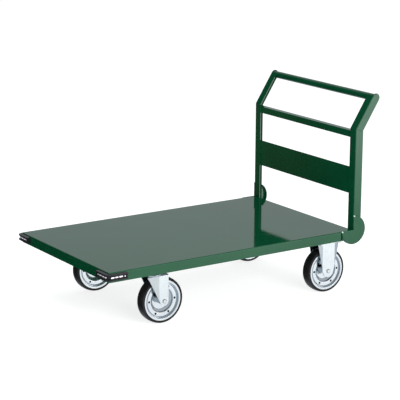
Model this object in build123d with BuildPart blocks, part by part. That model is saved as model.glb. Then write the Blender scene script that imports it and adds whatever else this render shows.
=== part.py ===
from build123d import *
import math
import os

# Flatbed hand trolley with a welded push handle, in millimetres.
# Frame: origin on the floor under the middle of the overall size, +X towards the handle end
# (the rear), +Z up. "left" (-Y) and "right" (+Y) are as the person pushing sees them.

os.makedirs("parts", exist_ok=True)

# Deck
deck_length = 1250
deck_width = 750
sheet = 3
skirt_depth = 42
lip_width = 15
deck_corner_radius = 10
deck_edge_radius = 4

# Casters: 200 mm wheels in 240 mm high brackets
wheel_radius = 100
bracket_headroom = 40
plate_length = 130
plate_side_margin = 12.5
plate_thickness = 6
plate_corner_radius = 10
bolt_pitch_x = 105
bolt_to_fork = 10.5
bolt_radius = 5
bolt_clearance = 0.25
bolt_head_height = 6.4
hex_half_width = 8
nut_height = 8
washer_radius = 10.5
washer_thickness = 2
swivel_axle_from_front = 305
rigid_axle_from_rear = 96
swivel_inset = 103
rigid_inset = 85
trail = 40

# Caster forks
fork_thickness = 4.5
fork_side_gap = 9.5
wing_drop = 4
swivel_crown_drop = 25
swivel_crown_front = 38
swivel_tip_radius = 20
swivel_crease = 14
rigid_half_length = 58
rigid_tip_radius = 28
rigid_crease = 33
fork_bend_radius = 5

# Swivel bearing
race_inner_radius = 24
race_outer_radius = 42
race_height = 4
race_gap = 4
ball_radius = 4.75
ball_clearance = 0.1
ball_count = 20
kingpin_radius = 8
kingpin_head_radius = 13
kingpin_head_height = 6
shaft_clearance = 0.05
running_gap = 0.3

# Wheels
tyre_half_width = 23
tyre_overhang = 3
tyre_depth = 20
tyre_crown = 2.5
tyre_shoulder_radius = 3
rim_lip_height = 7.5
disc_sheet = 2.5
groove_width = 6
groove_offset = 11
groove_slope = 3
ring_width = 16
ring_offset = 15
dish_slope = 14
disc_hole_radius = 5
disc_hole_count = 6
disc_hole_turn = 30
hub_radius = 18
bearing_outer_radius = 15
bearing_width = 9
axle_radius = 7.5
axle_head_radius = 9.5
axle_thread_radius = 6
axle_nut_half_width = 9.5
hub_side_gap = 0.5

# Bearers and stiffeners under the deck
bearer_depth = 43
bearer_width = 140
bearer_end_gap = 20
stiffener_width = 60
stiffener_depth = 30
stiffener_spacing = 300

# Handle
angle_leg = 40
angle_thickness = 4
angle_corner_radius = 3
bend_above_deck = 451
slant_length = 166.6
lean = math.radians(33)
top_rail_gap = 0.1
rail_wall = 2.3
middle_rail_size = 30
middle_rail_above_deck = 409
panel_height = 120
panel_above_deck = 158
panel_sheet = 4
panel_edge_radius = 1.5

# Corner caps
cap_radius = 65
cap_sheet = 3
cap_rim_depth = 16
cap_edge_radius = 2.5
cap_notch_gap = 3

# Corner bumpers
bumper_leg = 80
bumper_height = 29
bumper_projection = 16
bumper_drop = 4
groove_floor = 11
groove_height = 13
bumper_end_wall = 6
bumper_nose_radius = 1.5
screw_inset = 12
screw_radius = 2.5
screw_head_radius = 4.5
screw_head_height = 2.8

# Worked-out places and sizes
caster_height = 2 * wheel_radius + bracket_headroom
plate_under = caster_height - plate_thickness
swivel_crown_height = caster_height - swivel_crown_drop
field_inner = tyre_half_width + fork_side_gap
field_outer = field_inner + fork_thickness
bolt_pitch_y = 2 * (field_outer + bolt_to_fork)
plate_width = bolt_pitch_y + 2 * plate_side_margin
rim_half_width = tyre_half_width - tyre_overhang
rim_seat_radius = wheel_radius - tyre_depth
rim_lip_radius = rim_seat_radius + rim_lip_height
groove_radius = rim_seat_radius - groove_width
ring_outer_radius = groove_radius - groove_slope
ring_inner_radius = ring_outer_radius - ring_width
dish_radius = ring_inner_radius - dish_slope
disc_hole_circle = (ring_outer_radius + ring_inner_radius) / 2
hub_half_length = field_inner - hub_side_gap
deck_height = caster_height + bearer_depth + sheet
deck_under = deck_height - sheet
skirt_bottom = deck_height - skirt_depth
half_width = deck_width / 2
swivel_half_track = half_width - swivel_inset
rigid_half_track = half_width - rigid_inset
top_rail_radius = angle_leg / 2 - angle_thickness - top_rail_gap
handle_reach = slant_length * math.sin(lean) + angle_leg / 2 * (1 + math.cos(lean))
front_x = bumper_projection - (bumper_projection + deck_length + handle_reach) / 2
rear_x = front_x + deck_length
deck_middle_x = (front_x + rear_x) / 2
bend_height = deck_height + bend_above_deck
swivel_axle_x = front_x + swivel_axle_from_front
kingpin_x = swivel_axle_x - trail
rigid_axle_x = rear_x - rigid_axle_from_rear
rail_length = 2 * (half_width - angle_thickness)
sides = (("left", -1), ("right", 1))


def save(part, label):
    """Labels one finished piece and writes its STEP file."""
    part.label = label
    export_step(part, f"parts/{label}.step")


def side_plane(x, y):
    """Upright plane facing -Y through (x, y): local x runs along +X and local y along +Z."""
    return Plane(origin=(x, y, 0), x_dir=(1, 0, 0), z_dir=(0, -1, 0))


def turning_plane(origin, direction):
    """Plane through an axis: local x is the radius and local y runs along the axis."""
    axis_direction = Vector(*direction)
    radial = Vector(1, 0, 0)
    if abs(axis_direction.X) > 0.5:
        radial = Vector(0, 0, 1)
    return Plane(origin=origin, x_dir=radial, z_dir=radial.cross(axis_direction))


def turned(origin, direction, outline):
    """Solid of revolution from a closed outline of (radius, distance along the axis) points."""
    with BuildPart() as piece:
        with BuildSketch(turning_plane(origin, direction)):
            with BuildLine():
                Polyline(*outline, close=True)
            make_face()
        revolve(axis=Axis(origin, direction))
    return piece.part


# ---------------------------------------------------------------- deck

def bumper_screw_planes():
    """One plane per bumper screw, on the outer skirt face and facing outwards."""
    height = deck_height - bumper_drop - bumper_height / 2
    along = bumper_leg - screw_inset
    planes = []
    for _, side in sides:
        planes.append(Plane(origin=(front_x + along, side * half_width, height), z_dir=(0, side, 0)))
        planes.append(Plane(origin=(front_x, side * (half_width - along), height), z_dir=(-1, 0, 0)))
    return planes


with BuildPart() as deck_tray:
    with BuildSketch(Plane((deck_middle_x, 0, deck_height))) as deck_outline:
        Rectangle(deck_length, deck_width)
        fillet(deck_outline.vertices().group_by(Axis.X)[0], deck_corner_radius)
    extrude(amount=-skirt_depth)
    fillet(deck_tray.faces().sort_by(Axis.Z)[-1].edges(), deck_edge_radius)
    offset(amount=-sheet, openings=deck_tray.faces().sort_by(Axis.Z)[0])
    # The skirts turn inwards again along the bottom.
    with BuildSketch(Plane((deck_middle_x, 0, skirt_bottom))) as lip_outline:
        Rectangle(deck_length, deck_width)
        fillet(lip_outline.vertices().group_by(Axis.X)[0], deck_corner_radius)
        Rectangle(deck_length - 2 * lip_width, deck_width - 2 * lip_width, mode=Mode.SUBTRACT)
    extrude(amount=sheet)
    # The side skirts stop where the rims of the corner caps pass under the deck.
    notch_length = cap_radius + cap_notch_gap - lip_width
    notch_x = rear_x - lip_width - notch_length / 2
    with BuildSketch(Plane((notch_x, 0, skirt_bottom))):
        with Locations((0, half_width - lip_width / 2), (0, lip_width / 2 - half_width)):
            Rectangle(notch_length, lip_width)
    extrude(amount=skirt_depth - sheet, mode=Mode.SUBTRACT)
    with Locations(*bumper_screw_planes()):
        Cylinder(screw_radius, 2 * sheet, mode=Mode.SUBTRACT)
save(deck_tray.part, "deck_tray")


def bearer(x):
    """Channel across the deck, open upwards, that one pair of casters bolts to."""
    y_holes = swivel_half_track if x < deck_middle_x else rigid_half_track
    with BuildPart() as channel:
        with BuildSketch(side_plane(x, 0)) as section:
            with Locations((0, caster_height + bearer_depth / 2)):
                Rectangle(bearer_width, bearer_depth)
            fillet(section.vertices().group_by(Axis.Y)[0], 2 * sheet)
            with Locations((0, caster_height + bearer_depth / 2 + sheet)):
                Rectangle(bearer_width - 2 * sheet, bearer_depth, mode=Mode.SUBTRACT)
        extrude(amount=half_width - bearer_end_gap, both=True)
        with BuildSketch(Plane((x, 0, caster_height))):
            for _, side in sides:
                with Locations((0, side * y_holes)):
                    if x < deck_middle_x:
                        Circle(kingpin_head_radius + 5)
                    with GridLocations(bolt_pitch_x, bolt_pitch_y, 2, 2):
                        Circle(bolt_radius + bolt_clearance)
        extrude(amount=sheet, mode=Mode.SUBTRACT)
    return channel.part


save(bearer(kingpin_x), "bearer_front")
save(bearer(rigid_axle_x), "bearer_rear")

for name, side in sides:
    stiffener_start = kingpin_x + bearer_width / 2
    stiffener_end = rigid_axle_x - bearer_width / 2
    stiffener_length = stiffener_end - stiffener_start
    stiffener_plane = Plane(
        origin=((stiffener_start + stiffener_end) / 2, side * stiffener_spacing / 2, deck_under),
        x_dir=(0, 1, 0),
        z_dir=(1, 0, 0),
    )
    with BuildPart() as stiffener:
        with BuildSketch(stiffener_plane) as section:
            Rectangle(stiffener_width, stiffener_depth, align=(Align.CENTER, Align.MAX))
            fillet(section.vertices().group_by(Axis.Y)[0], 2 * sheet)
            with Locations((0, 0)):
                Rectangle(
                    stiffener_width - 2 * sheet,
                    stiffener_depth - sheet,
                    align=(Align.CENTER, Align.MAX),
                    mode=Mode.SUBTRACT,
                )
        extrude(amount=stiffener_length / 2, both=True)
    save(stiffener.part, f"stiffener_{name}")


# ---------------------------------------------------------------- handle

def along_post(distance, inset):
    """Point (from the post's front face, height) up the slant and in from its front face."""
    across = distance * math.sin(lean) + inset * math.cos(lean)
    up = bend_height + distance * math.cos(lean) - inset * math.sin(lean)
    return (across, up)


def bend_corner(inset):
    """Where a line parallel to the post's front face turns at the bend."""
    return (inset, bend_height - inset * math.tan(lean / 2))


def post(side):
    """Bent angle upright: a web on the outer side with a rounded top, and a front flange."""
    with BuildPart() as upright:
        with BuildSketch(side_plane(rear_x, side * half_width)):
            with BuildLine():
                Polyline((0, skirt_bottom), bend_corner(0), along_post(slant_length, 0))
                ThreePointArc(
                    along_post(slant_length, 0),
                    along_post(slant_length + angle_leg / 2, angle_leg / 2),
                    along_post(slant_length, angle_leg),
                )
                Polyline(
                    along_post(slant_length, angle_leg),
                    bend_corner(angle_leg),
                    (angle_leg, skirt_bottom),
                    (0, skirt_bottom),
                )
            make_face()
        extrude(amount=side * angle_thickness)
        with BuildSketch(side_plane(rear_x, side * half_width)):
            with BuildLine():
                Polyline(
                    (0, skirt_bottom),
                    bend_corner(0),
                    along_post(slant_length, 0),
                    along_post(slant_length, angle_thickness),
                    bend_corner(angle_thickness),
                    (angle_thickness, skirt_bottom),
                    close=True,
                )
            make_face()
        extrude(amount=side * angle_leg)
        outer = -1 if side > 0 else 0
        slant_axis = Axis((0, 0, 0), (math.sin(lean), 0, math.cos(lean)))
        upright_edges = upright.edges().filter_by(Axis.Z).group_by(Axis.Y)[outer]
        slant_edges = upright.edges().filter_by(slant_axis).group_by(Axis.Y)[outer]
        corner = [upright_edges.sort_by(Axis.X)[0], slant_edges.sort_by(Axis.X)[0]]
        fillet(corner, angle_corner_radius)
    return upright.part


for name, side in sides:
    save(post(side), f"post_{name}")

top_rail_across, top_rail_height = along_post(slant_length, angle_leg / 2)
with BuildPart() as top_rail:
    with BuildSketch(side_plane(rear_x + top_rail_across, 0)):
        with Locations((0, top_rail_height)):
            Circle(top_rail_radius)
            Circle(top_rail_radius - rail_wall, mode=Mode.SUBTRACT)
    extrude(amount=rail_length / 2, both=True)
save(top_rail.part, "top_rail")

# The middle rail and the panel stand against the back of the post flanges.
behind_flange = rear_x + angle_thickness
with BuildPart() as middle_rail:
    with BuildSketch(side_plane(behind_flange + middle_rail_size / 2, 0)):
        with Locations((0, deck_height + middle_rail_above_deck + middle_rail_size / 2)):
            RectangleRounded(middle_rail_size, middle_rail_size, 3)
            inner = middle_rail_size - 2 * rail_wall
            RectangleRounded(inner, inner, 1, mode=Mode.SUBTRACT)
    extrude(amount=rail_length / 2, both=True)
save(middle_rail.part, "middle_rail")

with BuildPart() as panel:
    with BuildSketch(side_plane(behind_flange, 0)) as panel_section:
        with Locations((0, deck_height + panel_above_deck + panel_height / 2)):
            Rectangle(panel_sheet, panel_height, align=(Align.MIN, Align.CENTER))
        fillet(panel_section.vertices(), panel_edge_radius)
    extrude(amount=rail_length / 2, both=True)
save(panel.part, "panel")


def cap(side):
    """Three-quarter disc lapped over the post and deck corner, with an inturned rim."""
    face_y = side * (half_width + cap_sheet)
    with BuildPart() as disc:
        with BuildSketch(side_plane(rear_x, face_y)):
            with Locations((0, deck_height)):
                Circle(cap_radius)
                Rectangle(cap_radius, cap_radius, align=(Align.MAX, Align.MIN), mode=Mode.SUBTRACT)
        extrude(amount=side * cap_sheet)
        with BuildSketch(side_plane(rear_x, face_y)):
            with Locations((0, deck_height)):
                Circle(cap_radius)
                Circle(cap_radius - cap_sheet, mode=Mode.SUBTRACT)
            # The rim starts behind the post's web and stops under the deck sheet.
            with Locations((angle_leg + running_gap, deck_height)):
                Rectangle(3 * cap_radius, 2 * cap_radius, align=(Align.MAX, Align.MIN), mode=Mode.SUBTRACT)
            with Locations((0, deck_under)):
                Rectangle(cap_radius, 2 * sheet, align=(Align.MAX, Align.MIN), mode=Mode.SUBTRACT)
        extrude(amount=side * cap_rim_depth)
        outer = -1 if side > 0 else 0
        rim_edges = disc.faces().sort_by(Axis.Y)[outer].edges().filter_by(GeomType.CIRCLE)
        fillet(rim_edges, cap_edge_radius)
    return disc.part


for name, side in sides:
    save(cap(side), f"cap_{name}")


# ---------------------------------------------------------------- bumpers

def bumper(side):
    """L-shaped rubber guard round a front deck corner, with a groove along its outer face."""
    height = deck_height - bumper_drop - bumper_height / 2
    side_end = (front_x + bumper_leg, side * half_width, height)
    corner = (front_x, side * half_width, height)
    front_end = (front_x, side * (half_width - bumper_leg), height)
    side_end_plane = Plane(origin=side_end, x_dir=(0, side, 0), z_dir=(-1, 0, 0))
    front_end_plane = Plane(origin=front_end, x_dir=(-1, 0, 0), z_dir=(0, side, 0))
    half_height = bumper_height / 2
    half_groove = groove_height / 2
    with BuildPart() as guard:
        with BuildLine() as path:
            FilletPolyline(side_end, corner, front_end, radius=deck_corner_radius)
        with BuildSketch(side_end_plane) as section:
            with BuildLine():
                Polyline(
                    (0, -half_height),
                    (bumper_projection, -half_height + 2),
                    (bumper_projection, -half_groove - 1),
                    (groove_floor, -half_groove + 1),
                    (groove_floor, half_groove - 1),
                    (bumper_projection, half_groove + 1),
                    (bumper_projection, half_height - 2),
                    (0, half_height),
                    close=True,
                )
            make_face()
            fillet(section.vertices().group_by(Axis.X)[-1], bumper_nose_radius)
        sweep(path=path.wire())
        # The groove stops short of both ends.
        for end_plane in (side_end_plane, front_end_plane):
            with BuildSketch(end_plane):
                Rectangle(bumper_projection - 1, bumper_height - 4, align=(Align.MIN, Align.CENTER))
            extrude(amount=bumper_end_wall)
        with Locations(*bumper_screw_planes()):
            Cylinder(screw_radius, 4 * bumper_projection, mode=Mode.SUBTRACT)
    return guard.part


for name, side in sides:
    save(bumper(side), f"bumper_{name}")


screw_outline = (
    (0, -groove_floor - sheet - 6),
    (screw_radius, -groove_floor - sheet - 6),
    (screw_radius, 0),
    (screw_head_radius, 0),
    (screw_head_radius - 0.5, screw_head_height / 2),
    (screw_radius, screw_head_height),
    (0, screw_head_height),
)
screw_seats = [plane.offset(groove_floor) for plane in bumper_screw_planes()]
screws = [turned(seat.origin, seat.z_dir, screw_outline) for seat in screw_seats]
with BuildPart() as bumper_screws:
    add(screws)
save(bumper_screws.part, "bumper_screws")


# ---------------------------------------------------------------- caster plates and bolts

caster_centres = []
for _, side in sides:
    caster_centres.append((kingpin_x, side * swivel_half_track))
    caster_centres.append((rigid_axle_x, side * rigid_half_track))

race_under = swivel_crown_height + race_height
race_over = race_under + race_gap
ball_height = race_under + race_gap / 2
ball_circle = (race_inner_radius + race_outer_radius) / 2

for name, side in sides:
    with BuildPart() as swivel_plate:
        with BuildSketch(Plane((kingpin_x, side * swivel_half_track, plate_under))):
            RectangleRounded(plate_length, plate_width, plate_corner_radius)
            Circle(kingpin_radius, mode=Mode.SUBTRACT)
            with GridLocations(bolt_pitch_x, bolt_pitch_y, 2, 2):
                Circle(bolt_radius + bolt_clearance, mode=Mode.SUBTRACT)
        extrude(amount=plate_thickness)
        # The upper ball race hangs under the plate.
        with BuildSketch(Plane((kingpin_x, side * swivel_half_track, race_over))):
            Circle(race_outer_radius)
            Circle(race_inner_radius, mode=Mode.SUBTRACT)
        extrude(amount=plate_under - race_over)
        with Locations((kingpin_x, side * swivel_half_track, ball_height)):
            Torus(ball_circle, ball_radius + ball_clearance, mode=Mode.SUBTRACT)
    save(swivel_plate.part, f"swivel_plate_{name}")

    with BuildPart() as swivel_race:
        with BuildSketch(Plane((kingpin_x, side * swivel_half_track, swivel_crown_height))):
            Circle(race_outer_radius)
            Circle(race_inner_radius, mode=Mode.SUBTRACT)
        extrude(amount=race_height)
        with Locations((kingpin_x, side * swivel_half_track, ball_height)):
            Torus(ball_circle, ball_radius + ball_clearance, mode=Mode.SUBTRACT)
    save(swivel_race.part, f"swivel_race_{name}")

    with BuildPart() as swivel_balls:
        with Locations((kingpin_x, side * swivel_half_track, ball_height)):
            with PolarLocations(ball_circle, ball_count):
                Sphere(ball_radius)
    save(swivel_balls.part, f"swivel_balls_{name}")

    crown_under = swivel_crown_height - fork_thickness
    head_top = crown_under - running_gap
    kingpin_outline = (
        (0, head_top - kingpin_head_height),
        (kingpin_head_radius - 2, head_top - kingpin_head_height),
        (kingpin_head_radius, head_top - kingpin_head_height + 2),
        (kingpin_head_radius, head_top),
        (kingpin_radius, head_top),
        (kingpin_radius, caster_height),
        (kingpin_head_radius, caster_height),
        (kingpin_head_radius - 2, caster_height + kingpin_head_height),
        (0, caster_height + kingpin_head_height),
    )
    kingpin_base = (kingpin_x, side * swivel_half_track, 0)
    save(turned(kingpin_base, (0, 0, 1), kingpin_outline), f"kingpin_{name}")

    with BuildPart() as rigid_plate:
        with BuildSketch(Plane((rigid_axle_x, side * rigid_half_track, plate_under))):
            RectangleRounded(plate_length, plate_width, plate_corner_radius)
            with GridLocations(bolt_pitch_x, bolt_pitch_y, 2, 2):
                Circle(bolt_radius + bolt_clearance, mode=Mode.SUBTRACT)
        extrude(amount=plate_thickness)
    save(rigid_plate.part, f"rigid_plate_{name}")

washer_bottom = caster_height + sheet
nut_bottom = washer_bottom + washer_thickness
bolt_top = nut_bottom + nut_height + 3

with BuildPart() as caster_bolts:
    for x, y in caster_centres:
        with BuildSketch(Plane((x, y, plate_under))):
            with GridLocations(bolt_pitch_x, bolt_pitch_y, 2, 2):
                RegularPolygon(hex_half_width, 6, major_radius=False)
        extrude(amount=-bolt_head_height)
        with BuildSketch(Plane((x, y, plate_under))):
            with GridLocations(bolt_pitch_x, bolt_pitch_y, 2, 2):
                Circle(bolt_radius)
        extrude(amount=bolt_top - plate_under)
save(caster_bolts.part, "caster_bolts")

with BuildPart() as caster_washers:
    for x, y in caster_centres:
        with BuildSketch(Plane((x, y, washer_bottom))):
            with GridLocations(bolt_pitch_x, bolt_pitch_y, 2, 2):
                Circle(washer_radius)
                Circle(bolt_radius + bolt_clearance, mode=Mode.SUBTRACT)
        extrude(amount=washer_thickness)
save(caster_washers.part, "caster_washers")

with BuildPart() as caster_nuts:
    for x, y in caster_centres:
        with BuildSketch(Plane((x, y, nut_bottom))):
            with GridLocations(bolt_pitch_x, bolt_pitch_y, 2, 2):
                RegularPolygon(hex_half_width, 6, major_radius=False)
                Circle(bolt_radius, mode=Mode.SUBTRACT)
        extrude(amount=nut_height)
save(caster_nuts.part, "caster_nuts")


# ---------------------------------------------------------------- forks

def fork(x, y, profile, top, axle_offset, tip_radius):
    """Pressed U bracket over a wheel. The profile lists (distance along X, how far the wing
    has sunk towards the wheel) from the front end of each leg to its rear end."""
    inner_line = [(u, field_inner - drop) for u, drop in profile]
    outer_line = [(u, field_outer - drop) for u, drop in profile]
    front = profile[0][0]
    rear = profile[-1][0]
    leg_bottom = wheel_radius - tip_radius
    with BuildPart() as bracket:
        with BuildSketch(Plane((x, y, leg_bottom))):
            for flip in (-1, 1):
                with BuildLine():
                    outline = inner_line + outer_line[::-1]
                    Polyline(*[(u, flip * v) for u, v in outline], close=True)
                make_face()
        extrude(amount=top - leg_bottom)
        # Seen from the side each leg tapers from the crown to a round tip at the axle.
        with BuildSketch(side_plane(x, y)):
            with Locations((axle_offset, wheel_radius)):
                Circle(tip_radius)
            with Locations(((front + rear) / 2, top)):
                Rectangle(rear - front, fork_thickness, align=(Align.CENTER, Align.MAX))
            make_hull()
        extrude(amount=field_outer, both=True, mode=Mode.INTERSECT)
        with BuildSketch(Plane((x, y, top))):
            with BuildLine():
                far_side = [(u, -v) for u, v in outer_line[::-1]]
                Polyline(*outer_line, *far_side, close=True)
            make_face()
        extrude(amount=-fork_thickness)
        top_edges = bracket.faces().sort_by(Axis.Z)[-1].edges()
        long_edges = [edge for edge in top_edges if abs(edge.tangent_at(0.5).X) > 0.5]
        fillet(long_edges, fork_bend_radius)
        with Locations(Location((x + axle_offset, y, wheel_radius), (90, 0, 0))):
            Cylinder(axle_radius, 3 * field_outer, mode=Mode.SUBTRACT)
    return bracket.part


swivel_profile = (
    (-swivel_crown_front, wing_drop),
    (swivel_crease, 0),
    (trail + swivel_tip_radius, 0),
)
rigid_profile = (
    (-rigid_half_length, wing_drop),
    (-rigid_crease, 0),
    (rigid_crease, 0),
    (rigid_half_length, wing_drop),
)
for name, side in sides:
    y = side * swivel_half_track
    swivel_shell = fork(kingpin_x, y, swivel_profile, swivel_crown_height, trail, swivel_tip_radius)
    with BuildPart() as swivel_fork:
        add(swivel_shell)
        with Locations((kingpin_x, y, swivel_crown_height)):
            Cylinder(kingpin_radius + shaft_clearance, 3 * fork_thickness, mode=Mode.SUBTRACT)
    save(swivel_fork.part, f"swivel_fork_{name}")
    y = side * rigid_half_track
    save(fork(rigid_axle_x, y, rigid_profile, plate_under, 0, rigid_tip_radius), f"rigid_fork_{name}")


# ---------------------------------------------------------------- wheels

def disc(centre, outward):
    """Pressed wheel disc, thickened from its middle line of (radius, distance outwards)."""
    half_sheet = disc_sheet / 2
    lip_offset = rim_half_width + half_sheet
    shelf_radius = rim_seat_radius - half_sheet
    with BuildPart() as pressing:
        with BuildSketch(turning_plane(centre, outward)):
            with BuildLine():
                FilletPolyline(
                    (rim_lip_radius, lip_offset),
                    (shelf_radius, lip_offset),
                    (shelf_radius, groove_offset),
                    (groove_radius, groove_offset),
                    (ring_outer_radius, ring_offset),
                    (ring_inner_radius, ring_offset),
                    (ring_inner_radius - 3, ring_offset - 6),
                    (dish_radius, half_sheet),
                    (hub_radius - 2, half_sheet),
                    radius=disc_sheet * 0.8,
                )
            trace(line_width=disc_sheet)
        revolve(axis=Axis(centre, outward))
        with Locations(Plane(origin=centre, z_dir=outward)):
            Cylinder(hub_radius, 2 * wheel_radius, mode=Mode.SUBTRACT)
            with PolarLocations(disc_hole_circle, disc_hole_count, start_angle=disc_hole_turn):
                Cylinder(disc_hole_radius, 2 * wheel_radius, mode=Mode.SUBTRACT)
    return pressing.part


def tyre(centre):
    """Solid rubber ring with a slightly crowned tread, seated between the two disc lips."""
    shoulder_radius = wheel_radius - tyre_crown
    bulge_start = rim_lip_radius + disc_sheet
    with BuildPart() as ring:
        with BuildSketch(turning_plane(centre, (0, 1, 0))) as section:
            with BuildLine():
                Polyline(
                    (shoulder_radius, tyre_half_width),
                    (bulge_start + 1, tyre_half_width),
                    (bulge_start - 1, rim_half_width),
                    (rim_seat_radius + 1.5, rim_half_width),
                    (rim_seat_radius, rim_half_width - 1.5),
                    (rim_seat_radius, -rim_half_width + 1.5),
                    (rim_seat_radius + 1.5, -rim_half_width),
                    (bulge_start - 1, -rim_half_width),
                    (bulge_start + 1, -tyre_half_width),
                    (shoulder_radius, -tyre_half_width),
                )
                ThreePointArc(
                    (shoulder_radius, -tyre_half_width),
                    (wheel_radius, 0),
                    (shoulder_radius, tyre_half_width),
                )
            make_face()
            fillet(section.vertices().group_by(Axis.X)[-1], tyre_shoulder_radius)
        revolve(axis=Axis(centre, (0, 1, 0)))
    return ring.part


hub_outline = (
    (bearing_outer_radius, -hub_half_length),
    (hub_radius, -hub_half_length),
    (hub_radius, hub_half_length),
    (bearing_outer_radius, hub_half_length),
)
bearing_end = hub_half_length - hub_side_gap
axle_outline = (
    (0, -field_outer - nut_height - 4),
    (axle_thread_radius - 1, -field_outer - nut_height - 4),
    (axle_thread_radius, -field_outer - nut_height - 3),
    (axle_thread_radius, -field_outer),
    (axle_radius, -field_outer),
    (axle_radius, field_outer),
    (axle_head_radius, field_outer),
    (axle_head_radius, field_outer + 2),
    (axle_head_radius - 3, field_outer + 4.5),
    (0, field_outer + 4.5),
)

rigid_axles = []
rigid_axle_nuts = []
for name, side in sides:
    outward = (0, side, 0)
    inward = (0, -side, 0)
    for end, x, half_track in (
        ("front", swivel_axle_x, swivel_half_track),
        ("rear", rigid_axle_x, rigid_half_track),
    ):
        centre = (x, side * half_track, wheel_radius)
        save(tyre(centre), f"tyre_{end}_{name}")
        save(disc(centre, outward), f"disc_outer_{end}_{name}")
        save(disc(centre, inward), f"disc_inner_{end}_{name}")
        save(turned(centre, outward, hub_outline), f"hub_{end}_{name}")
        rings = []
        for direction in (outward, inward):
            ring_outline = (
                (axle_radius + shaft_clearance, bearing_end - bearing_width),
                (bearing_outer_radius, bearing_end - bearing_width),
                (bearing_outer_radius, bearing_end),
                (axle_radius + shaft_clearance, bearing_end),
            )
            rings.append(turned(centre, direction, ring_outline))
        with BuildPart() as bearings:
            add(rings)
        save(bearings.part, f"bearings_{end}_{name}")
        axle = turned(centre, outward, axle_outline)
        with BuildPart() as axle_nut:
            with BuildSketch(Plane(origin=centre, z_dir=inward).offset(field_outer)):
                RegularPolygon(axle_nut_half_width, 6, major_radius=False)
                Circle(axle_thread_radius, mode=Mode.SUBTRACT)
            extrude(amount=nut_height)
        if end == "front":
            save(axle, f"swivel_axle_{name}")
            save(axle_nut.part, f"swivel_axle_nut_{name}")
        else:
            rigid_axles.append(axle)
            rigid_axle_nuts.append(axle_nut.part)

with BuildPart() as rigid_axle_pair:
    add(rigid_axles)
save(rigid_axle_pair.part, "rigid_axles")

with BuildPart() as rigid_nut_pair:
    add(rigid_axle_nuts)
save(rigid_nut_pair.part, "rigid_axle_nuts")
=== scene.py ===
"""Looks, light and camera for the flatbed hand trolley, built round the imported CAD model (metres)."""
import math

import bmesh
import bpy
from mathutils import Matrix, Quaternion, Vector


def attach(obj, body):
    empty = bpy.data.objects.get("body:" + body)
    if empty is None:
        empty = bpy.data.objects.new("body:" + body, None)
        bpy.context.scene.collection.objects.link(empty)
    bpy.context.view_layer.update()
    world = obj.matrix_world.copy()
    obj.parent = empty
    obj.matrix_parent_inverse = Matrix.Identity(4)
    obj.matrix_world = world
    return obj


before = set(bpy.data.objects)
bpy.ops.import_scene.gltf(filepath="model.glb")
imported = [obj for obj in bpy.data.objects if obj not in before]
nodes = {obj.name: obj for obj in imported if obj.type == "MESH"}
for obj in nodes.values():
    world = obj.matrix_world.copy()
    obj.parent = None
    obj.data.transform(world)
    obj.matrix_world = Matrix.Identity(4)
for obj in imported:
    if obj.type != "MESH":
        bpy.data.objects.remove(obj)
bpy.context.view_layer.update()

# Sizes of the CAD model that the added pieces follow. Front is -X, and the handle is at +X.
DECK_LENGTH = 1.250
HALF_WIDTH = 0.375
DECK_HEIGHT = 0.286
ANGLE_LEG = 0.040
ANGLE_SHEET = 0.004
BEND_HEIGHT = DECK_HEIGHT + 0.451
SLANT = 0.1666
LEAN = math.radians(33)
TOP_RAIL_RADIUS = 0.016
RAIL_EDGES = (DECK_HEIGHT + 0.409, DECK_HEIGHT + 0.439)
RAIL_DEPTH = 0.030
PANEL_EDGES = (DECK_HEIGHT + 0.158, DECK_HEIGHT + 0.278)
PANEL_SHEET = 0.004
CAP_RADIUS = 0.065
CAP_SHEET = 0.003
BUMPER_PROJECTION = 0.016
BUMPER_DROP = 0.004
BUMPER_HEIGHT = 0.029
GROOVE_FLOOR = 0.011

# The origin is under the middle of the whole trolley, from the bumpers to the top of the handle.
HANDLE_REACH = SLANT * math.sin(LEAN) + ANGLE_LEG / 2 * (1 + math.cos(LEAN))
FRONT_X = BUMPER_PROJECTION - (BUMPER_PROJECTION + DECK_LENGTH + HANDLE_REACH) / 2
REAR_X = FRONT_X + DECK_LENGTH

# How far a point may be off a face and still be counted as on it
HAIR = 0.0005

# Each side's name, and the direction of its outside along Y
SIDES = (("left", -1), ("right", 1))

# Blender's colour mix node: its two colour inputs and its colour output, by number
MIX_FIRST = 6
MIX_SECOND = 7
MIX_RESULT = 2


# ---------------------------------------------------------------- materials

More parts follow.
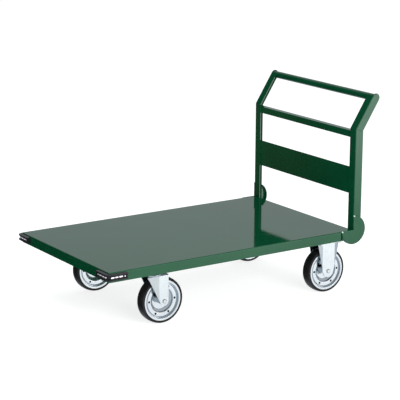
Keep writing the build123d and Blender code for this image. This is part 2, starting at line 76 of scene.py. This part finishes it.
class Graph:
    """Shorthand for one node material. A source is a pair: a node, and the name of its output."""

    def __init__(self, name):
        self.material = bpy.data.materials.new(name)
        self.material.use_nodes = True
        self.tree = self.material.node_tree
        self.tree.nodes.clear()
        self.output = self.tree.nodes.new("ShaderNodeOutputMaterial")
        self.shader = self.tree.nodes.new("ShaderNodeBsdfPrincipled")
        self.link(self.shader, "BSDF", self.output, "Surface")
        self.place = self.tree.nodes.new("ShaderNodeTexCoord")

    def link(self, source, out_name, target, in_name):
        self.tree.links.new(source.outputs[out_name], target.inputs[in_name])

    def set(self, **values):
        """Plain values on the shader's own sockets, with _ for a blank in a socket's name."""
        for name, value in values.items():
            self.shader.inputs[name.replace("_", " ")].default_value = value

    def noise(self, scale, detail=3.0, roughness=0.5, stretch=(1, 1, 1)):
        """Cloudy pattern fixed to the object, scale being its grains to a metre."""
        mapping = self.tree.nodes.new("ShaderNodeMapping")
        mapping.inputs["Scale"].default_value = stretch
        self.link(self.place, "Object", mapping, "Vector")
        texture = self.tree.nodes.new("ShaderNodeTexNoise")
        texture.inputs["Scale"].default_value = scale
        texture.inputs["Detail"].default_value = detail
        texture.inputs["Roughness"].default_value = roughness
        self.link(mapping, "Vector", texture, "Vector")
        return texture, "Fac"

    def ramp(self, source, low, high, colour_low, colour_high):
        """Colour that goes from colour_low to colour_high while the source goes low to high."""
        node = self.tree.nodes.new("ShaderNodeValToRGB")
        node.color_ramp.elements[0].position = low
        node.color_ramp.elements[0].color = (*colour_low, 1)
        node.color_ramp.elements[1].position = high
        node.color_ramp.elements[1].color = (*colour_high, 1)
        self.link(source[0], source[1], node, "Fac")
        return node, "Color"

    def spread(self, source, low, high, to_low, to_high):
        """Number that goes from to_low to to_high while the source goes low to high."""
        node = self.tree.nodes.new("ShaderNodeMapRange")
        node.inputs["From Min"].default_value = low
        node.inputs["From Max"].default_value = high
        node.inputs["To Min"].default_value = to_low
        node.inputs["To Max"].default_value = to_high
        self.link(source[0], source[1], node, "Value")
        return node, "Result"

    def blend(self, factor, first, second):
        """Mix of two colours, each a plain colour or a source."""
        node = self.tree.nodes.new("ShaderNodeMix")
        node.data_type = "RGBA"
        self.link(factor[0], factor[1], node, "Factor")
        for index, colour in ((MIX_FIRST, first), (MIX_SECOND, second)):
            if isinstance(colour[0], bpy.types.Node):
                self.link(colour[0], colour[1], node, index)
            else:
                node.inputs[index].default_value = (*colour, 1)
        return node, MIX_RESULT

    def feed(self, source, name):
        self.link(source[0], source[1], self.shader, name)

    def bump(self, source, strength, distance):
        node = self.tree.nodes.new("ShaderNodeBump")
        node.inputs["Strength"].default_value = strength
        node.inputs["Distance"].default_value = distance
        self.link(source[0], source[1], node, "Height")
        self.link(node, "Normal", self.shader, "Normal")


def paint_material():
    """Dark green gloss enamel with orange peel, slight mottling and faint dust."""
    graph = Graph("green_enamel")
    tone = graph.ramp(graph.noise(6, 4), 0.3, 0.7, (0.0016, 0.044, 0.0170), (0.0024, 0.052, 0.0204))
    dust = graph.spread(graph.noise(45, 6, 0.65), 0.58, 0.80, 0.0, 0.02)
    graph.feed(graph.blend(dust, tone, (0.20, 0.26, 0.23)), "Base Color")
    graph.feed(graph.spread(graph.noise(14, 5, 0.6), 0.3, 0.75, 0.04, 0.08), "Roughness")
    graph.set(IOR=1.5)
    graph.bump(graph.noise(260, 2), 0.10, 0.0002)
    return graph.material


def shaded_paint_material():
    """Darker, duller copy of the same enamel: painted shade for the inner faces of the post webs."""
    graph = Graph("green_enamel_painted_shade")
    tone = graph.ramp(graph.noise(9, 4), 0.3, 0.7, (0.0020, 0.026, 0.0120), (0.0026, 0.033, 0.0150))
    graph.feed(tone, "Base Color")
    graph.feed(graph.spread(graph.noise(30, 4), 0.3, 0.7, 0.55, 0.70), "Roughness")
    graph.set(Specular_IOR_Level=0.12)
    graph.bump(graph.noise(260, 2), 0.10, 0.0002)
    return graph.material


def weld_highlight_material():
    """The same enamel over a weld bead, lighter in patches: painted highlight that makes the beads
    stand out.
    """
    graph = Graph("green_enamel_weld_highlight")
    tone = graph.ramp(graph.noise(220, 3), 0.35, 0.7, (0.004, 0.060, 0.026), (0.020, 0.110, 0.060))
    graph.feed(tone, "Base Color")
    graph.feed(graph.spread(graph.noise(150, 3), 0.3, 0.7, 0.10, 0.24), "Roughness")
    graph.set(IOR=1.5)
    graph.bump(graph.noise(420, 3), 0.35, 0.0004)
    return graph.material


def tack_highlight_material():
    """Tack weld coloured pale, near white in patches: painted highlight on its crown."""
    graph = Graph("pale_enamel_tack_highlight")
    tone = graph.ramp(graph.noise(260, 3), 0.35, 0.65, (0.16, 0.30, 0.22), (0.62, 0.66, 0.62))
    graph.feed(tone, "Base Color")
    graph.feed(graph.spread(graph.noise(180, 3), 0.3, 0.7, 0.15, 0.30), "Roughness")
    graph.bump(graph.noise(420, 3), 0.35, 0.0004)
    return graph.material


def zinc_material(name, light, dark, smooth, rough):
    """Bright zinc plating: pale bluish metal with faint clouding and fine rolling marks."""
    graph = Graph(name)
    clouds = graph.ramp(graph.noise(30, 5, 0.6), 0.3, 0.7, dark, light)
    graph.feed(clouds, "Base Color")
    graph.feed(graph.spread(graph.noise(70, 5, 0.6), 0.3, 0.7, smooth, rough), "Roughness")
    graph.set(Metallic=1.0)
    graph.bump(graph.noise(500, 3, 0.6, (1, 1, 0.25)), 0.012, 0.0001)
    return graph.material


def rubber_material(name, dark, light, smooth, rough, grain):
    """Moulded black rubber with a fine grain and faint bloom."""
    graph = Graph(name)
    bloom = graph.ramp(graph.noise(24, 5, 0.6), 0.35, 0.75, dark, light)
    graph.feed(bloom, "Base Color")
    graph.feed(graph.spread(graph.noise(60, 4), 0.3, 0.7, smooth, rough), "Roughness")
    graph.set(Specular_IOR_Level=0.28)
    graph.bump(graph.noise(900, 3, 0.6), grain, 0.0003)
    return graph.material


def steel_material():
    """Ground bearing steel."""
    graph = Graph("ground_steel")
    tone = graph.ramp(graph.noise(90, 4), 0.3, 0.7, (0.42, 0.43, 0.44), (0.56, 0.57, 0.58))
    graph.feed(tone, "Base Color")
    graph.feed(graph.spread(graph.noise(300, 4, 0.6, (1, 6, 1)), 0.3, 0.7, 0.16, 0.30), "Roughness")
    graph.set(Metallic=1.0)
    graph.bump(graph.noise(600, 3, 0.5, (1, 8, 1)), 0.06, 0.0002)
    return graph.material


def marking_material():
    """Pale ink bars printed in the bumper's groove, slightly worn."""
    graph = Graph("pale_ink")
    wear = graph.spread(graph.noise(180, 5, 0.6), 0.35, 0.75, 0.0, 0.35)
    graph.feed(graph.blend(wear, (0.80, 0.80, 0.82), (0.30, 0.30, 0.31)), "Base Color")
    graph.feed(graph.spread(graph.noise(90, 3), 0.3, 0.7, 0.35, 0.55), "Roughness")
    graph.bump(graph.noise(700, 3), 0.1, 0.0002)
    return graph.material


enamel = paint_material()
# Darker copy of the enamel: painted shade for the inner faces of the webs
shaded_enamel = shaded_paint_material()
# Lighter enamel on the weld beads: painted highlight
weld_highlight_enamel = weld_highlight_material()
# Pale finish of the tack welds: painted highlight
tack_highlight_enamel = tack_highlight_material()
zinc = zinc_material(
    "bright_zinc",
    light=(0.63, 0.67, 0.69),
    dark=(0.58, 0.63, 0.66),
    smooth=0.16,
    rough=0.22,
)
screw_zinc = zinc_material(
    "screw_zinc",
    light=(0.92, 0.93, 0.94),
    dark=(0.84, 0.86, 0.88),
    smooth=0.25,
    rough=0.35,
)
disc_zinc = zinc_material(
    "disc_zinc",
    light=(0.66, 0.70, 0.73),
    dark=(0.62, 0.67, 0.71),
    smooth=0.12,
    rough=0.16,
)
tyre_rubber = rubber_material(
    "tyre_rubber",
    dark=(0.0050, 0.0046, 0.0050),
    light=(0.0115, 0.0105, 0.0112),
    smooth=0.34,
    rough=0.50,
    grain=0.20,
)
guard_rubber = rubber_material(
    "guard_rubber",
    dark=(0.006, 0.006, 0.008),
    light=(0.013, 0.012, 0.015),
    smooth=0.16,
    rough=0.30,
    grain=0.10,
)
steel = steel_material()
pale_ink = marking_material()

# How the nodes' names start, and their finish. The first line that fits a node counts.
FINISHES = (
    (("deck_tray", "bearer_", "stiffener_", "cap_"), enamel),
    (("post_", "top_rail", "middle_rail", "panel"), enamel),
    (("bumper_left", "bumper_right"), guard_rubber),
    (("bumper_screws",), screw_zinc),
    (("tyre_",), tyre_rubber),
    (("disc_",), disc_zinc),
    (("swivel_balls_", "bearings_"), steel),
    (("",), zinc),
)
for name, node in nodes.items():
    finish = next(material for starts, material in FINISHES if name.startswith(starts))
    node.data.materials.clear()
    node.data.materials.append(finish)

# The inner faces of the posts' webs get the darker, duller copy of the enamel as the posts' second
# material: painted shade, while the outer faces keep the plain enamel.
for name, side in SIDES:
    post = nodes[f"post_{name}"].data
    post.materials.append(shaded_enamel)
    for polygon in post.polygons:
        on_web = abs(polygon.center.y) > HALF_WIDTH - ANGLE_SHEET - HAIR
        faces_inwards = polygon.normal.y * side < -0.9
        if on_web and faces_inwards:
            polygon.material_index = post.materials.find(shaded_enamel.name)


# ---------------------------------------------------------------- added pieces

def new_object(name, mesh, material, body="chassis"):
    """Turns a finished bmesh into an object that rides on a body, and frees it."""
    data = bpy.data.meshes.new(name)
    mesh.to_mesh(data)
    mesh.free()
    data.materials.append(material)
    for polygon in data.polygons:
        polygon.use_smooth = True
    piece = bpy.data.objects.new(name, data)
    bpy.context.scene.collection.objects.link(piece)
    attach(piece, body)


def add_bead(mesh, start, end, radius, ripple=0.0035, around=10):
    """Rippled weld bead between two points, half of it sunk into what it lies on."""
    start = Vector(start)
    line = Vector(end) - start
    steps = max(6, int(line.length / ripple * 4))
    turn = Vector((0, 0, 1)).rotation_difference(line.normalized())
    rings = []
    for step in range(steps + 1):
        share = step / steps
        taper = min(1.0, 5 * share + 0.35, 5 * (1 - share) + 0.35)
        swell = 1 + 0.13 * math.sin(2 * math.pi * share * line.length / ripple)
        ring = []
        for index in range(around):
            angle = 2 * math.pi * index / around
            offset = Vector((math.cos(angle), math.sin(angle), 0)) * radius * taper * swell
            ring.append(mesh.verts.new(start + line * share + turn @ offset))
        rings.append(ring)
    for first, second in zip(rings, rings[1:]):
        for index in range(around):
            after = (index + 1) % around
            mesh.faces.new((first[index], first[after], second[after], second[index]))
    mesh.faces.new(rings[0][::-1])
    mesh.faces.new(rings[-1])


def slant_point(distance, inset):
    """(x, z) up the slanted handle, as along_post gives it in the CAD model."""
    across = distance * math.sin(LEAN) + inset * math.cos(LEAN)
    up = BEND_HEIGHT + distance * math.cos(LEAN) - inset * math.sin(LEAN)
    return REAR_X + across, up


def bend_point(inset):
    """(x, z) on the post's bend, where the upright and the slanted part meet."""
    return REAR_X + inset, BEND_HEIGHT - inset * math.tan(LEAN / 2)


def ring_points(centre_x, centre_z, y, radius, count):
    """Corners of a closed polygon across Y, with the first one again at the end."""
    angles = [2 * math.pi * index / count for index in range(count + 1)]
    return [(centre_x + radius * math.cos(a), y, centre_z + radius * math.sin(a)) for a in angles]


def add_ring_bead(mesh, centre_x, centre_z, y, radius, bead_radius):
    """Weld bead round a tube's end, in twelve short runs."""
    points = ring_points(centre_x, centre_z, y, radius, 12)
    for start, end in zip(points, points[1:]):
        add_bead(mesh, start, end, bead_radius)


# Weld sizes
EDGE_BEAD = 0.0013
CORNER_BEAD = 0.0014
CAP_BEAD_SINK = 0.0008
TACK_RADIUS = 0.0034
TACK_HALF_LENGTH = 0.0035

# Along the cap's two straight edges, in (x, z) from the deck's rear top corner
CAP_BEADS = (
    ((-CAP_RADIUS + 0.003, -0.001), (-0.002, -0.001)),
    ((0.001, 0.003), (0.001, CAP_RADIUS - 0.003)),
)
CAP_TACKS = ((-CAP_RADIUS + 0.002, -0.002), (0.002, CAP_RADIUS - 0.002))

for name, side in SIDES:
    outside = side * HALF_WIDTH
    inside = side * (HALF_WIDTH - ANGLE_SHEET)
    cap_outside = side * (HALF_WIDTH + CAP_SHEET)
    welds = bmesh.new()
    tacks = bmesh.new()
    # The corner cap is welded to the deck and to the post along its two straight edges.
    for ends in CAP_BEADS:
        bead_y = cap_outside - side * CAP_BEAD_SINK
        start, end = [(REAR_X + x, bead_y, DECK_HEIGHT + z) for x, z in ends]
        add_bead(welds, start, end, EDGE_BEAD)
    # It is tacked first at the far end of each edge, and those tacks stand proud.
    half_tack = Vector((TACK_HALF_LENGTH, 0, 0))
    for x, z in CAP_TACKS:
        middle = Vector((REAR_X + x, cap_outside, DECK_HEIGHT + z))
        add_bead(tacks, middle - half_tack, middle + half_tack, TACK_RADIUS)
    # The post's web is notched, bent and welded shut again across the bend.
    front_x, front_z = bend_point(ANGLE_SHEET)
    back_x, back_z = bend_point(ANGLE_LEG - 0.002)
    add_bead(welds, (front_x, outside, front_z), (back_x, outside, back_z), EDGE_BEAD)
    # The rails and the panel run between the webs, and are welded to them at both ends.
    rail_x, rail_z = slant_point(SLANT, ANGLE_LEG / 2)
    add_ring_bead(welds, rail_x, rail_z, inside, TOP_RAIL_RADIUS, CORNER_BEAD)
    behind = REAR_X + ANGLE_SHEET
    for z in RAIL_EDGES:
        add_bead(welds, (behind + 0.004, inside, z), (behind + RAIL_DEPTH, inside, z), CORNER_BEAD)
    panel_back = behind + PANEL_SHEET
    start, end = [(panel_back, inside, z) for z in PANEL_EDGES]
    add_bead(welds, start, end, CORNER_BEAD)
    # A short bead crosses the inside of the web just above the deck.
    start, end = [(x, inside, DECK_HEIGHT + 0.004) for x in (REAR_X + ANGLE_LEG, behind)]
    add_bead(welds, start, end, CORNER_BEAD)
    new_object(f"welds_{name}", welds, weld_highlight_enamel)
    new_object(f"tacks_{name}", tacks, tack_highlight_enamel)


def add_bar(mesh, centre, along, out, length):
    """Printed bar: a thin raised tablet with rounded ends, a little smaller at its top."""
    end_steps = 6
    outline = []
    for end in (1, -1):
        reach = end * (length - BAR_HEIGHT) / 2
        for index in range(end_steps + 1):
            angle = end * math.pi / 2 - math.pi * index / end_steps
            u = reach + math.cos(angle) * BAR_HEIGHT / 2
            v = math.sin(angle) * BAR_HEIGHT / 2
            outline.append((u, v))
    up = Vector((0, 0, 1))
    raised = centre + out * BAR_THICKNESS
    lower = [mesh.verts.new(centre + along * u + up * v) for u, v in outline]
    upper = [mesh.verts.new(raised + along * u * 0.97 + up * v * 0.9) for u, v in outline]
    mesh.faces.new(lower[::-1])
    mesh.faces.new(upper)
    total = len(outline)
    for index in range(total):
        after = (index + 1) % total
        mesh.faces.new((lower[index], lower[after], upper[after], upper[index]))


# Start and end of each bar, from the deck's corner, on both legs of a bumper
BARS = ((0.002, 0.019), (0.0215, 0.037), (0.040, 0.058))
BAR_HEIGHT = 0.0062
BAR_THICKNESS = 0.0006
GROOVE_Z = DECK_HEIGHT - BUMPER_DROP - BUMPER_HEIGHT / 2

for name, side in SIDES:
    bars = bmesh.new()
    outwards = Vector((0, side, 0))
    backwards = Vector((1, 0, 0))
    for start, end in BARS:
        middle = (start + end) / 2
        side_centre = Vector((FRONT_X + middle, side * (HALF_WIDTH + GROOVE_FLOOR), GROOVE_Z))
        add_bar(bars, side_centre, backwards, outwards, end - start)
        front_centre = Vector((FRONT_X - GROOVE_FLOOR, side * (HALF_WIDTH - middle), GROOVE_Z))
        add_bar(bars, front_centre, Vector((0, 1, 0)), -backwards, end - start)
    bmesh.ops.recalc_face_normals(bars, faces=bars.faces)
    new_object(f"groove_bars_{name}", bars, pale_ink)


# ---------------------------------------------------------------- floor, light and camera

def plain_material(name, colour, glow=0.0):
    """Matt stage material, faintly mottled."""
    graph = Graph(name)
    faint = [max(0.0, channel - 0.01) for channel in colour]
    graph.feed(graph.ramp(graph.noise(3, 2), 0.3, 0.7, faint, colour), "Base Color")
    graph.set(Roughness=0.95, Specular_IOR_Level=0.0)
    graph.set(Emission_Color=(1, 1, 1, 1), Emission_Strength=glow)
    return graph.material


def stage_sheet(name, corners, material):
    """Flat sheet of the studio, which isn't part of the trolley."""
    mesh = bmesh.new()
    mesh.faces.new([mesh.verts.new(corner) for corner in corners])
    data = bpy.data.meshes.new(name)
    mesh.to_mesh(data)
    mesh.free()
    data.materials.append(material)
    sheet = bpy.data.objects.new(name, data)
    bpy.context.scene.collection.objects.link(sheet)
    return sheet


# The floor is a light table: pale, and lit a little from below, so that shadows on it stay soft.
FLOOR_REACH = 60
floor_corners = [(FLOOR_REACH * x, FLOOR_REACH * y, 0) for x, y in ((-1, -1), (1, -1), (1, 1), (-1, 1))]
floor_finish = plain_material("pale_floor", (0.42, 0.42, 0.42), glow=0.80)
floor = stage_sheet("floor", floor_corners, floor_finish)
floor.visible_glossy = False


def softbox(name, place, target, width, height, watts):
    """Rectangular lamp that the camera and gloss don't see: the studio below is what they mirror."""
    light = bpy.data.lights.new(name, "AREA")
    light.shape = "RECTANGLE"
    light.size = width
    light.size_y = height
    light.energy = watts
    lamp = bpy.data.objects.new(name, light)
    lamp.location = place
    lamp.rotation_euler = (Vector(target) - Vector(place)).to_track_quat("-Z", "Y").to_euler()
    lamp.visible_camera = False
    lamp.visible_glossy = False
    bpy.context.scene.collection.objects.link(lamp)


softbox("near_fill", place=(-0.3, -4.2, 1.5), target=(0, 0, 0.4), width=3, height=2, watts=215)
softbox("overhead", place=(0, 0, 5), target=(0, 0, 0), width=6, height=6, watts=130)


class Studio:
    """World light by direction: a pale room with a few soft panels that gloss and metal mirror."""

    def __init__(self, above, below):
        self.world = bpy.data.worlds.new("studio")
        self.world.use_nodes = True
        self.tree = self.world.node_tree
        self.background = self.tree.nodes["Background"]
        place = self.tree.nodes.new("ShaderNodeTexCoord")
        self.direction = place.outputs["Generated"]
        split = self.tree.nodes.new("ShaderNodeSeparateXYZ")
        self.tree.links.new(self.direction, split.inputs[0])
        height = self.soft_step(split.outputs["Z"], -0.02, 0.02)
        self.colour = self.mix(height, below, above)

    def soft_step(self, value, start, end):
        """0 up to start and 1 from end on, with a smooth rise between them."""
        node = self.tree.nodes.new("ShaderNodeMapRange")
        node.interpolation_type = "SMOOTHSTEP"
        node.inputs["From Min"].default_value = start
        node.inputs["From Max"].default_value = end
        self.tree.links.new(value, node.inputs["Value"])
        return node.outputs["Result"]

    def mix(self, factor, first, second):
        """Mix of two colours, each a tuple or a socket."""
        node = self.tree.nodes.new("ShaderNodeMix")
        node.data_type = "RGBA"
        self.tree.links.new(factor, node.inputs["Factor"])
        for index, colour in ((MIX_FIRST, first), (MIX_SECOND, second)):
            if isinstance(colour, tuple):
                node.inputs[index].default_value = (*colour, 1)
            else:
                self.tree.links.new(colour, node.inputs[index])
        return node.outputs[MIX_RESULT]

    def panel(self, heading, rise, core, edge, colour):
        """Soft round panel: full within core degrees of its middle, gone at edge degrees."""
        across, up = math.radians(heading), math.radians(rise)
        middle = (math.cos(across) * math.cos(up), math.sin(across) * math.cos(up), math.sin(up))
        node = self.tree.nodes.new("ShaderNodeVectorMath")
        node.operation = "DOT_PRODUCT"
        node.inputs[1].default_value = middle
        self.tree.links.new(self.direction, node.inputs[0])
        gone, full = math.cos(math.radians(edge)), math.cos(math.radians(core))
        near = self.soft_step(node.outputs["Value"], gone, full)
        self.colour = self.mix(near, self.colour, colour)

    def finish(self):
        """Beyond the floor's edge the camera itself sees white."""
        path = self.tree.nodes.new("ShaderNodeLightPath")
        seen = self.mix(path.outputs["Is Camera Ray"], self.colour, (1.0, 1.0, 1.0))
        self.tree.links.new(seen, self.background.inputs["Color"])
        bpy.context.scene.world = self.world


# Headings are in degrees from +X towards +Y, and rises in degrees above the horizon.
studio = Studio(above=(0.53, 0.555, 0.58), below=(0.62, 0.68, 0.74))
# The near sides of the deck, posts and forks mirror these two bright panels.
studio.panel(heading=-56, rise=-17, core=9, edge=17, colour=(1.10, 1.12, 1.12))
studio.panel(heading=-56, rise=-7, core=4.5, edge=9.5, colour=(3.4, 3.4, 3.4))
# The slanted and the upright faces that look forwards mirror dark ones, the last with a warm spot.
studio.panel(heading=119, rise=24, core=14, edge=22, colour=(0.02, 0.02, 0.02))
studio.panel(heading=124, rise=-14, core=22, edge=34, colour=(0.004, 0.004, 0.004))
studio.panel(heading=124, rise=-11.5, core=2.5, edge=5, colour=(0.080, 0.045, 0.015))
studio.finish()
bpy.context.scene.view_settings.view_transform = "Standard"

CAMERA_PLACE = Vector((-3.8337, -5.7374, 2.1300))
CAMERA_HEADING = math.radians(56.212)
CAMERA_DIP = math.radians(13.925)
CAMERA_ROLL = math.radians(0.323)
CAMERA_LENS = 145.73
view = Vector((
    math.cos(CAMERA_HEADING) * math.cos(CAMERA_DIP),
    math.sin(CAMERA_HEADING) * math.cos(CAMERA_DIP),
    -math.sin(CAMERA_DIP),
))
lens = bpy.data.cameras.new("camera")
lens.lens = CAMERA_LENS
lens.sensor_width = 36
lens.clip_end = 200
camera = bpy.data.objects.new("camera", lens)
camera.location = CAMERA_PLACE
camera.rotation_mode = "QUATERNION"
camera.rotation_quaternion = view.to_track_quat("-Z", "Y") @ Quaternion((0, 0, 1), CAMERA_ROLL)
bpy.context.scene.collection.objects.link(camera)
bpy.context.scene.camera = camera
